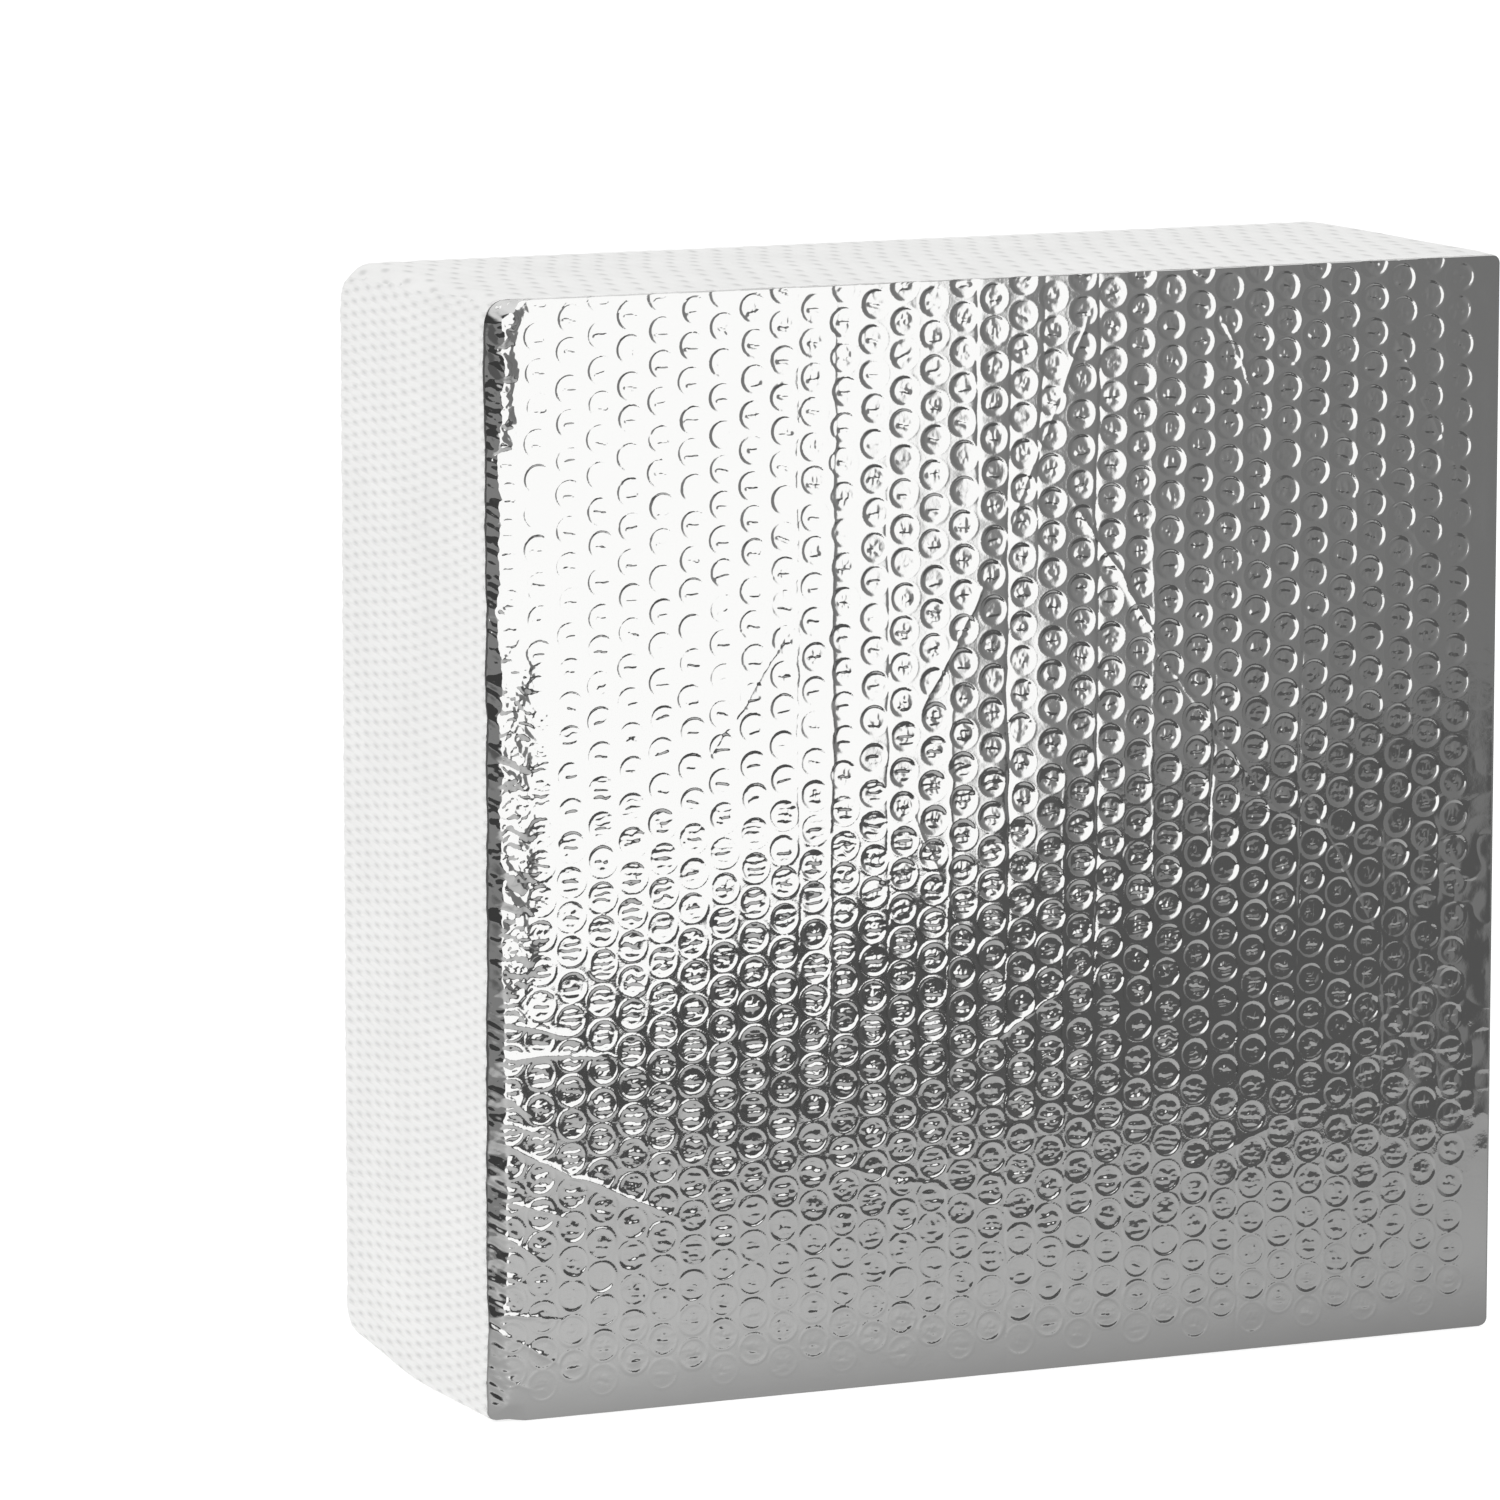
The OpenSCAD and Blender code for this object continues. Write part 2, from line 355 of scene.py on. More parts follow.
foil = {
    "step": 0.42,  # spacing of the points of the sheet
    "seamInset": 0.15,  # the seam line, in from the side of the pad
    "bubble": 10.1,  # across the rim of one bubble
    "rim": 0.03,  # height of the rim over the foil between the bubbles
    "dish": 0.44,  # how far the middle of a bubble has sunk below its rim
    "flatMiddle": (4.0, 2.0),  # radius of the level middle of that dish, where taut and where slack
    "rowPitch": 11.1,
    "columnPitch": 10.45,
    "firstColumn": 6.6,
    "firstRow": 6.6,
    "rightMargin": 9.0,  # bubbles fade out this near the right side
    "baseMargin": 11.0,  # and this near the base
    "seed": 7,
    "table": 48,  # bubbles each way in the random tables, before they repeat
    "tilt": 0.009,  # lean of the middle of one bubble
    "crease": 1.75,  # depth of the short crease in it, against the lean of its wall
    "ripple": 0.09,  # height of the ripples of slack film
    "knot": 0.21,  # height of the crumples
    "longWave": 0.35,
    "wave": 0.12,
    # Creases. Places are shares of the pad: across from the left, down from the top.
    # between two columns of bubbles: column, from and to (share down), depth in front, width
    "upright": (
        (5, 0.0, 0.5, 0.08, 0.5), (6, 0.5, 1.0, 0.16, 0.5), (9, -0.05, 0.7, -0.2, 0.45),
        (10, -0.05, 0.85, 0.5, 0.6), (12, 0.1, 0.75, -0.25, 0.45), (14, 0.3, 1.0, 0.3, 0.5),
        (15, -0.05, 0.22, -0.4, 0.6), (16, 0.02, 0.62, -0.95, 1.5), (16, 0.45, 1.05, -0.3, 0.5),
        (17, -0.05, 0.3, -0.35, 0.6), (18, 0.4, 0.9, 0.3, 0.5), (19, -0.1, 0.75, -0.6, 0.8),
        (21, 0.1, 0.6, 0.2, 0.5), (23, 0.34, 0.58, -0.4, 0.5), (24, 0.6, 1.05, -0.25, 0.5),
        (26, 0.28, 0.7, -0.32, 0.45), (28, 0.0, 0.3, 0.18, 0.6), (29, 0.5, 1.0, -0.2, 0.5),
    ),
    # from handling: start, end, depth, width
    "slanting": (
        ((0.56, 0.19), (0.67, 0.36), 0.75, 1.0), ((0.64, 0.33), (0.77, 0.50), 0.5, 0.8),
        ((0.77, 0.42), (0.90, 0.66), 0.35, 0.8), ((0.60, 0.0), (0.48, 0.29), 0.35, 0.8),
        ((0.49, 0.26), (0.41, 0.40), 0.5, 0.8), ((0.30, 0.29), (0.20, 0.43), 0.3, 0.7),
        ((0.71, 0.03), (0.75, 0.12), 0.5, 0.7), ((0.72, 0.0), (0.95, 0.30), 0.25, 0.9),
        ((0.40, 0.45), (0.47, 0.62), 0.4, 0.8), ((0.88, 0.05), (0.97, 0.22), 0.3, 0.8),
        ((0.72, 0.48), (0.93, 0.56), 0.3, 0.8), ((0.30, 0.78), (0.55, 0.86), 0.2, 0.8),
        ((0.45, 0.72), (0.60, 0.62), 0.3, 0.8), ((0.67, 0.83), (0.86, 0.765), 0.22, 0.8),
    ),
    # pleats out of the left seam: start (share down), run to the right and fall in mm, height, width
    "pleats": (
        (0.335, 22, -6, 0.5, 0.8), (0.45, 14, 5, 0.45, 0.8), (0.52, 10, 8, 0.5, 0.8),
        (0.557, 17, 4, 0.6, 0.8), (0.597, 15, 20, 0.9, 1.1), (0.635, 30, 9, 0.6, 0.9),
        (0.672, 46, 2, 0.8, 0.9), (0.696, 15, 11, 0.9, 1.1), (0.725, 20, 7, 0.6, 0.9),
        (0.745, 72, 34, 0.75, 0.9), (0.79, 30, 14, 0.6, 0.9), (0.82, 21, 17, 0.9, 1.1),
        (0.86, 14, 8, 0.6, 0.9), (0.902, 29, 5, 0.55, 0.8), (0.915, 26, 14, 0.75, 0.9),
        (0.95, 16, 9, 0.6, 0.9), (0.40, 9, 3, 0.5, 0.8), (0.25, 11, 6, 0.4, 0.8),
    ),
}


def nearestBubble(x, z):
    # offsets from the middle of the nearest bubble, and that bubble's place in the random tables
    f = foil
    size = f["table"]
    shiftX, shiftZ = np.random.default_rng(f["seed"]).normal(0, 0.2, (2, size, size))
    left, top = -pad["width"] / 2, pad["height"]
    nearest = np.full(x.shape, 1e9)
    kept = [np.zeros(x.shape) for _ in range(4)]
    column = np.round((x - left - f["firstColumn"]) / f["columnPitch"]).astype(int)
    for step in (-1, 0, 1):
        c = column + step
        half = (c % 2) / 2
        r = np.round((top - f["firstRow"] - z) / f["rowPitch"] - half).astype(int)
        ci, ri = (c + 4) % size, (r + 4) % size
        dx = x - (left + f["firstColumn"] + c * f["columnPitch"] + shiftX[ci, ri])
        dz = z - (top - f["firstRow"] - (r + half) * f["rowPitch"] + shiftZ[ci, ri])
        away = np.hypot(dx, dz)
        closer = away < nearest
        nearest = np.where(closer, away, nearest)
        for k, value in enumerate((dx, dz, ci, ri)):
            kept[k] = np.where(closer, value, kept[k])
    return kept[0], kept[1], kept[2].astype(int), kept[3].astype(int)


def bubbleField(x, z):
    # height of the bubbles over the foil between them, and a mask of their middles
    f = foil
    dx, dz, ci, ri = nearestBubble(x, z)
    rng = np.random.default_rng(f["seed"] + 1)
    size = f["table"]
    tiltX, tiltZ = rng.normal(0, f["tilt"], (2, size, size))
    dish = rng.normal(1, 0.1, (size, size))
    skewX, skewZ = rng.normal(0, 0.35, (2, size, size))
    turn = rng.normal(-0.07, 0.12, (size, size))
    low = rng.normal(-0.8, 0.3, (size, size))
    reach = rng.uniform(2.0, 2.9, (size, size))
    depth = rng.choice([1, 1, 1.1, 0.9, 0.5, -0.9], (size, size))
    phase = rng.uniform(0, 6.28, (size, size))
    lumpy = rng.uniform(0, 1, (size, size))
    rippleLong = rng.uniform(1.8, 3.4, (size, size))
    rippleDeep = rng.uniform(0.15, 1.3, (size, size))
    away = np.hypot(dx, dz)
    radius = f["bubble"] / 2
    shareU = x / pad["width"] + 0.5
    shareV = 1 - z / pad["height"]
    # the film is taut high on the left, slack elsewhere, and pressed nearly flat near the base
    belt = smooth(0.44, 0.56, shareV) * smooth(0.85, 0.45, shareU)
    slack = smooth(0.3, 0.6, shareU + 0.04 * softNoise(x, z, 30, 50))
    slack = slack * (1 - 0.4 * smooth(0.66, 0.85, shareU))
    slack = slack * (1 - 0.8 * smooth(0.46, 0.62, shareV + 0.05 * softNoise(x, z, 40, 56)))
    pressed = smooth(0.74, 0.85, shareV + 0.05 * softNoise(x, z, 26, 57) - 0.06 * shareU)
    wall = np.clip((radius + f["step"] * 1.02 - away) / (f["step"] * 1.02), 0, 1)
    inside = smooth(radius + 0.1, radius - 0.9, away)
    level = f["flatMiddle"][0] + (f["flatMiddle"][1] - f["flatMiddle"][0]) * slack * (1 - 0.8 * pressed)
    share = (np.hypot(dx - skewX[ci, ri], dz - skewZ[ci, ri]) - level) / (radius - level)
    # walls and creases of the taut bubbles lean just enough to catch the dark foot of the studio, the
    # painted dark band of the reflection card
    lean = np.maximum(np.tan(0.5 * np.arctan((z - 30) / 450) - 0.07), 0.13)
    taut = 1.2 * lean * (radius - level)
    sunk = (taut + (f["dish"] - taut) * slack) * dish[ci, ri] * (1 - 0.25 * pressed)
    steep = 1.05 + 1.2 * slack + 1.5 * smooth(0.5, 0.75, shareU)
    sunk = sunk * (1 - np.clip(share, 0, 1) ** steep) * smooth(radius + 0.05, radius - 0.3, away)
    rise = (f["rim"] + 0.06 * belt * (1 - pressed) + 0.07 * pressed) * wall - sunk
    rise = rise + inside * (tiltX[ci, ri] * dx + tiltZ[ci, ri] * dz)
    # the short crease across the middle
    across = dz - low[ci, ri] - turn[ci, ri] * dx + 0.12 * np.sin(dx * 1.3 + phase[ci, ri])
    line = np.clip(0.85 - np.abs(across), 0, 1)
    line = line * smooth(reach[ci, ri] * 1.15, reach[ci, ri] * 0.6, np.abs(dx))
    # slack film lies in level ripples, most of all low on the left
    loose = smooth(0.26, 0.52, shareV + 0.12 * softNoise(x, z, 30, 51)) * smooth(1.1, 0.5, shareU)
    loose = (0.05 + 0.95 * loose) * (1 - 0.8 * pressed)
    ripple = np.sin(2 * np.pi * (dz + 0.9 * softNoise(x, z, 2.2, 52)) / rippleLong[ci, ri] + phase[ci, ri])
    ripple = ripple * smooth(3.8, 1.4, np.abs(dx) + 1.5 * softNoise(x, z, 2.0, 53))
    ripple = ripple * smooth(4.2, 2.6, np.abs(dz))
    rise = rise + inside * f["ripple"] * loose * rippleDeep[ci, ri] * ripple
    rise = rise - inside * f["crease"] * lean * depth[ci, ri] * line * (1 - 0.4 * pressed)
    # crumpled middles
    knot = (1 - np.abs(softNoise(x * 1.5, z * 0.8, 1.5, 54))) ** 3 * smooth(3.4, 0.8, away)
    worn = smooth(0.25, 0.55, shareU) + smooth(0.4, 0.7, shareV)
    knot = knot * f["knot"] * smooth(0.45, 1.1, lumpy[ci, ri] + 0.6 * worn)
    rise = rise + knot * (1 - 0.4 * pressed)
    right = pad["width"] / 2 - x + dx
    fade = smooth(f["rightMargin"] - 6, f["rightMargin"] + 4, right) * (0.75 + 0.25 * smooth(10, 50, right))
    fade = fade * smooth(f["baseMargin"] - 7, f["baseMargin"] + 6, z - dz)
    return rise * fade, inside * fade


def foldLine(x, z, start, end, width, depth, seed):
    # a crease along a line, wandering a little, that dies away at its ends
    sx, sz = end[0] - start[0], end[1] - start[1]
    reach = math.hypot(sx, sz)
    along = ((x - start[0]) * sx + (z - start[1]) * sz) / reach
    across = ((z - start[1]) * sx - (x - start[0]) * sz) / reach
    across = across + 0.9 * softNoise(along, along * 0 + seed, 17, seed)
    across = across + 0.35 * softNoise(along, along * 0, 5, seed)
    ends = smooth(0, reach * 0.25, along) * smooth(reach, reach * 0.75, along)
    strength = 0.65 + 0.35 * softNoise(along, along * 0 + 3, 9, seed + 5)
    return depth * strength * np.exp(-np.abs(across) / width) * ends


def foilHeight(x, z):
    # how far the foil stands in front of its flat web plane
    w, h = pad["width"], pad["height"]
    height, cap = bubbleField(x, z)
    calm = smooth(-10, 70, x + w / 2)
    height = height + foil["longWave"] * calm * softNoise(x, z, 85, 21)
    height = height + foil["wave"] * softNoise(x, z, 33, 22)
    # long upright waves left by the roll the laminate came from
    height = height + 0.11 * softNoise(x, z / 7, 8, 24) + 0.022 * softNoise(x, z / 4, 3.5, 25)
    height = height + 0.055 * softNoise(x, z, 7, 26)
    fine = (1 - np.abs(softNoise(x, z, 3.2, 32))) ** 3
    patchy = smooth(-0.2, 0.8, softNoise(x, z, 42, 31))
    height = height + 0.08 * fine * (0.1 + patchy) * (0.3 + 0.7 * cap)
    for k, (column, top, bottom, depth, width) in enumerate(foil["upright"]):
        x0 = -w / 2 + foil["firstColumn"] + (column + 0.5) * foil["columnPitch"]
        lean = (-1.5, 1, 0, 2, -1, 1)[k % 6]
        fold = foldLine(x, z, (x0, (1 - bottom) * h), (x0 + lean, (1 - top) * h), width, depth, 40 + k)
        height = height + fold * (1 - 0.6 * cap)
    for k, (a, b, depth, width) in enumerate(foil["slanting"]):
        start, end = ((a[0] - 0.5) * w, (1 - a[1]) * h), ((b[0] - 0.5) * w, (1 - b[1]) * h)
        height = height + foldLine(x, z, start, end, width, depth, 70 + k)
    for k, (down, run, fall, tall, width) in enumerate(foil["pleats"]):
        start = (-w / 2 - 0.3 * run, (1 - down) * h + 0.3 * fall)
        end = (-w / 2 + run, (1 - down) * h - fall)
        height = height + foldLine(x, z, start, end, 0.8 * width, 0.7 * tall, 90 + k)
    # crushed patch at the top left corner
    crush = smooth(13, 5, x + w / 2 + 3 * softNoise(x, z, 9, 35)) * smooth(0.15, 0.11, 1 - z / h)
    share = 1 - z / h
    crush = crush + 0.8 * smooth(24, 6, x + w / 2) * smooth(0.2, 0.4, share) * smooth(0.66, 0.58, share)
    lumps = softNoise(x, z, 5, 33) + 0.5 * (1 - np.abs(softNoise(x + z, z - x, 2.6, 34))) ** 2
    height = height + 0.85 * crush * lumps
    height = height + 1.7 * np.maximum(crush - 0.3, 0) * (1 + softNoise(x + z, z, 4.2, 36))
    # crumpled beside the right seam, low down
    worn = smooth(0.84, 0.95, x / w + 0.5 + 0.05 * softNoise(x, z, 22, 37)) * smooth(0.42, 0.56, share)
    worn = worn * smooth(0.88, 0.74, share)
    ridges = (1 - np.abs(softNoise(x, z, 7, 39))) ** 3
    height = height + worn * (0.2 * softNoise(x, z, 5.5, 38) + 0.22 * ridges)
    return np.maximum(height, -0.8)  # the bubble film is right behind it


def snapToRims(x, z):
    # moves the points next to a bubble's rim onto rings round it, so that the rim is drawn cleanly
    dx, dz, _, _ = nearestBubble(x, z)
    away = np.maximum(np.hypot(dx, dz), 0.01)
    steps = (away - foil["bubble"] / 2) / foil["step"]
    ring = np.where(np.abs(steps) < 1.5, foil["bubble"] / 2 + foil["step"] * np.round(steps), away)
    return x + dx * (ring / away - 1), z + dz * (ring / away - 1)


def gatheredWidth(z):
    # width of the strip along the left side where the foil is gathered into the seam
    top = smooth(0.80, 0.97, z / pad["height"])
    low = smooth(0.55, 0.2, z / pad["height"])
    uneven = 0.9 * softNoise(z, z * 0, 16, 81) + 0.6 * softNoise(z, z * 0, 5, 82)
    return 3.2 + uneven + 1.6 * top + 1.3 * low


def leftShare(x):
    # 1 in the gathered strip, 0 away from the left side
    return smooth(-pad["width"] / 2 + 12, -pad["width"] / 2 + 6, x)


def gatheredFall(d, z):
    # how far back the foil lies in that strip, at a distance from the side
    over = gatheredWidth(z) - d
    return 0.84 * (np.sqrt(over ** 2 + 0.25) + over) / 2


def makeFoil():
    f = foil
    w, h, inset = pad["width"], pad["height"], f["seamInset"]
    radii = corners["front"]
    step = f["step"] * 1
    rows, columns = int(h / step), int(w / step)
    z = inset + (h - 2 * inset) * np.linspace(0, 1, rows)

    def rowEnd(r, top):
        # how far the rounded corner cuts into each row of points
        over = np.clip((z - (h - r)) if top else (r - z), 0, r - inset)
        return r - np.sqrt(np.maximum((r - inset) ** 2 - over ** 2, 0))

    leftEnd = -w / 2 + np.maximum(np.maximum(rowEnd(radii[0], True), rowEnd(radii[3], False)), inset)
    rightEnd = w / 2 - np.maximum(np.maximum(rowEnd(radii[1], True), rowEnd(radii[2], False)), inset)
    x = leftEnd[:, None] + (rightEnd - leftEnd)[:, None] * np.linspace(0, 1, columns)[None, :]
    z = np.repeat(z[:, None], columns, 1)
    middle = (slice(2, -2), slice(2, -2))
    x[middle], z[middle] = snapToRims(x[middle], z[middle])
    d = edgeDistance(x, z, radii) - inset
    height = foilHeight(x, z)
    # the sheet rolls back into the seam; along the left side it falls away in a gathered strip
    left = leftShare(x)
    near = np.clip(1 - d / 0.35, 0, 1)
    back = 0.35 * (1 - np.sqrt(np.maximum(1 - near ** 2, 0)))
    back = back + left * gatheredFall(d, z)
    height = height * smooth(-0.2, 0.6 + 3.5 * left, d)
    rough = softNoise(x * 0.7 + z, 0.35 * (x - 0.4 * z), 1.7, 78) * 0.42
    rough = (rough + softNoise(x + z * 0.4, z, 1.3, 79) * 0.16) * (0.8 + 0.5 * softNoise(x, z, 25, 80))
    height = height + left * smooth(8, 1.5, d) * smooth(-0.3, 0.8, d) * rough
    y = pad["webY"] - height + back
    points = np.stack([x, y, z], -1).reshape(-1, 3)
    quads = gridQuads(rows, columns)
    # turned edge: from the outline of the sheet, back behind the band
    index = np.arange(rows * columns).reshape(rows, columns)
    loop = np.concatenate([index[0, :], index[1:, -1], index[-1, -2::-1], index[-2:0:-1, 0]])
    edge = points[loop]
    inward = np.array([0, 0, h / 2]) - edge
    inward[:, 1] = 0
    inward /= np.linalg.norm(inward, axis=1)[:, None]
    rings = [edge + inward * turned + np.array([0, deep, 0])
             for turned, deep in ((0.3, 0.5), (1.3, 2), (1.6, 7))]
    start = len(points)
    points = np.concatenate([points] + rings)
    n = len(loop)
    k = np.arange(n)
    chain = [loop] + [start + i * n + k for i in range(3)]
    for a, b in zip(chain[:-1], chain[1:]):
        quads = np.concatenate([quads, np.stack([a, np.roll(a, -1), np.roll(b, -1), b], -1)[:, ::-1]])
    piece = meshFromQuads("foilFacing", points, quads, foilFinish)
    standFor(piece, "foil_facing")
    return piece


foilPiece = makeFoil()
print("foil facing made:", len(foilPiece.data.polygons), "faces")


film = {
    "step": 1.3,
    "under": 1.05,  # behind the foil's web plane
    "dish": 0.15,  # how far it has sunk in the bubbles
    "inset": 4.6,
    "radii": (12, 6, 6, 6),
    "backing": (1.75, 2.0),  # front and back of the flat film, behind the foil's web plane
    "backingInset": 4,
}


def makeFilm():
    w, h, inset = pad["width"], pad["height"], film["inset"]
    n = int((w - 2 * inset) / film["step"])
    x, z = np.meshgrid(np.linspace(-w / 2 + inset, w / 2 - inset, n), np.linspace(inset, h - inset, n))
    _, cap = bubbleField(x, z)
    wave = foil["longWave"] * softNoise(x, z, 85, 21) + foil["wave"] * softNoise(x, z, 33, 22)
    flat = smooth(0, 3, edgeDistance(x, z, film["radii"]) - inset)
    fall = leftShare(x) * gatheredFall(edgeDistance(x, z, corners["front"]), z)
    y = pad["webY"] + film["under"] - (wave - film["dish"] * cap) * flat + fall
    cut = edgeDistance(x, z, film["radii"]) > 3.5
    points = np.stack([x, y, z], -1).reshape(-1, 3)
    quads = gridQuads(n, n)
    quads = quads[cut.ravel()[quads].all(1)]
    used = np.unique(quads)
    renumber = np.zeros(len(points), int)
    renumber[used] = np.arange(len(used))
    piece = meshFromQuads("bubbleFilm", points[used], renumber[quads], filmFinish)
    standFor(piece, "bubble_film")
    return piece


def slabMesh(name, front, back, inset, radii, rim):
    # closed mesh of a slab of the pad's outline with eased edges
    profile = [(front, inset + rim * 3), (front, inset + rim), (front + rim * 0.3, inset + rim * 0.3),
               (front + rim, inset), (back - rim, inset), (back - rim * 0.3, inset + rim * 0.3),
               (back, inset + rim), (back, inset + rim * 3)]
    loops = []
    for y, into in profile:
        loop = outlineLoop(into, radii, 24, 6)
        loops.append(np.stack([loop[:, 0], np.full(len(loop), y), loop[:, 1]], 1))
    n = len(loops[0])
    mesh = bmesh.new()
    verts = [mesh.verts.new([float(v) * mm for v in p]) for p in np.concatenate(loops)]
    for quad in gridQuads(len(loops), n, closed=True):
        mesh.faces.new([verts[i] for i in quad]).smooth = True
    mesh.faces.new(verts[:n])
    mesh.faces.new(verts[-n:])
    bmesh.ops.recalc_face_normals(mesh, faces=mesh.faces)
    data = bpy.data.meshes.new(name)
    mesh.to_mesh(data)
    mesh.free()
    return data


def solidSlab(name, front, back, inset, radii, material, rim):
    data = slabMesh(name, front, back, inset, radii, rim)
    data.materials.append(material)
    return addPiece(name, data)


makeFilm()
webY = pad["webY"]
backing = solidSlab("backingFilm", webY + film["backing"][0], webY + film["backing"][1],
                    film["backingInset"], film["radii"], filmFinish, rim=0.1)
standFor(backing, "bubble_backing")

foam = {
    "front": 2.1,  # behind the foil's web plane
    "back": 2.4,  # in from the back of the cover
    "inset": 2.6,
    "radii": (11, 6, 6, 9),
    "rim": 3,
}
foamBlock = solidSlab("foamBlock", webY + foam["front"], pad["backY"] - foam["back"], foam["inset"],
                      foam["radii"], foamFinish, foam["rim"])
standFor(foamBlock, "foam_core")
print("films and foam made")


cover = {
    "perSide": 300,
    "perCorner": 10,
    "jointX": 70,  # where the ends of the band meet, under the pad
    "crown": 0.3,  # the band swells this much between its seams, on top of what the bag does
    "pucker": 0.35,  # depth of the gathers along the seams
    "puckerPitch": 9.0,
    "thickness": 0.7,
    "cell": 8.0,  # size of the quads of the cloth that is blown up
    "bagRadii": (10, 5, 5, 9),
    "pressure": 4.0,
    "frames": 20,
    "most": 1.5,  # how far the cover may swell
}


def blowCover():
    # the cover as one closed bag of cloth, pushed out a little by the foam packed into it
    piece = addPiece("bag", slabMesh("bag", webY + 0.4, pad["backY"], 0, cover["bagRadii"], 1.0))
    remesh = piece.modifiers.new("even", "REMESH")
    remesh.mode = "VOXEL"
    remesh.voxel_size = cover["cell"] * mm
    bpy.context.view_layer.update()
    graph = bpy.context.evaluated_depsgraph_get()
    data = bpy.data.meshes.new_from_object(piece.evaluated_get(graph))
    piece.modifiers.clear()
    piece.data = data
    rest = np.empty(len(data.vertices) * 3)
    data.vertices.foreach_get("co", rest)
    rest = rest.reshape(-1, 3) / mm
    # the foil side, the seams and the base are held
    side = edgeDistance(rest[:, 0], rest[:, 2], cover["bagRadii"])
    depth = rest[:, 1] - webY
    seam = (depth < 7) | ((pad["backY"] - rest[:, 1] < 7) & (side < 7)) | (rest[:, 2] < 5)
    group = piece.vertex_groups.new(name="held")
    group.add(np.nonzero(seam)[0].tolist(), 1.0, "REPLACE")
    cloth = piece.modifiers.new("blown", "CLOTH")
    cloth.settings.quality = 5
    cloth.settings.use_pressure = True
    cloth.settings.uniform_pressure_force = cover["pressure"]
    cloth.settings.vertex_group_mass = "held"
    cloth.settings.effector_weights.gravity = 0
    cloth.point_cache.frame_start, cloth.point_cache.frame_end = 1, cover["frames"]
    scene = bpy.context.scene
    for number in range(1, cover["frames"] + 1):
        scene.frame_set(number)
    blown = piece.evaluated_get(bpy.context.evaluated_depsgraph_get()).to_mesh()
    moved = np.empty(len(blown.vertices) * 3)
    blown.vertices.foreach_get("co", moved)
    moved = moved.reshape(-1, 3) / mm - rest
    scene.frame_set(1)
    bpy.data.objects.remove(piece)
    reach = np.linalg.norm(moved, axis=1)
    print("cover blown:", len(rest), "points, free movement up to", round(float(reach.max()), 2), "mm")
    moved *= min(1, cover["most"] / max(np.percentile(reach, 99), 1e-6))
    tree = KDTree(len(rest))
    for k, place in enumerate(rest):
        tree.insert(place, k)
    tree.balance()
    return tree, moved


def billowed(points):
    # points of the cover moved by what the blown bag does near them
    if bag is None:
        return points
    tree, moved = bag
    result = np.array(points, float)
    for k, place in enumerate(result):
        near = tree.find_n(place, 5)
        weights = np.array([1 / (away + 1.5) ** 2 for _, _, away in near])
        shift = (moved[[i for _, i, _ in near]] * weights[:, None]).sum(0) / weights.sum()
        result[k] += shift
    return result


bag = blowCover()


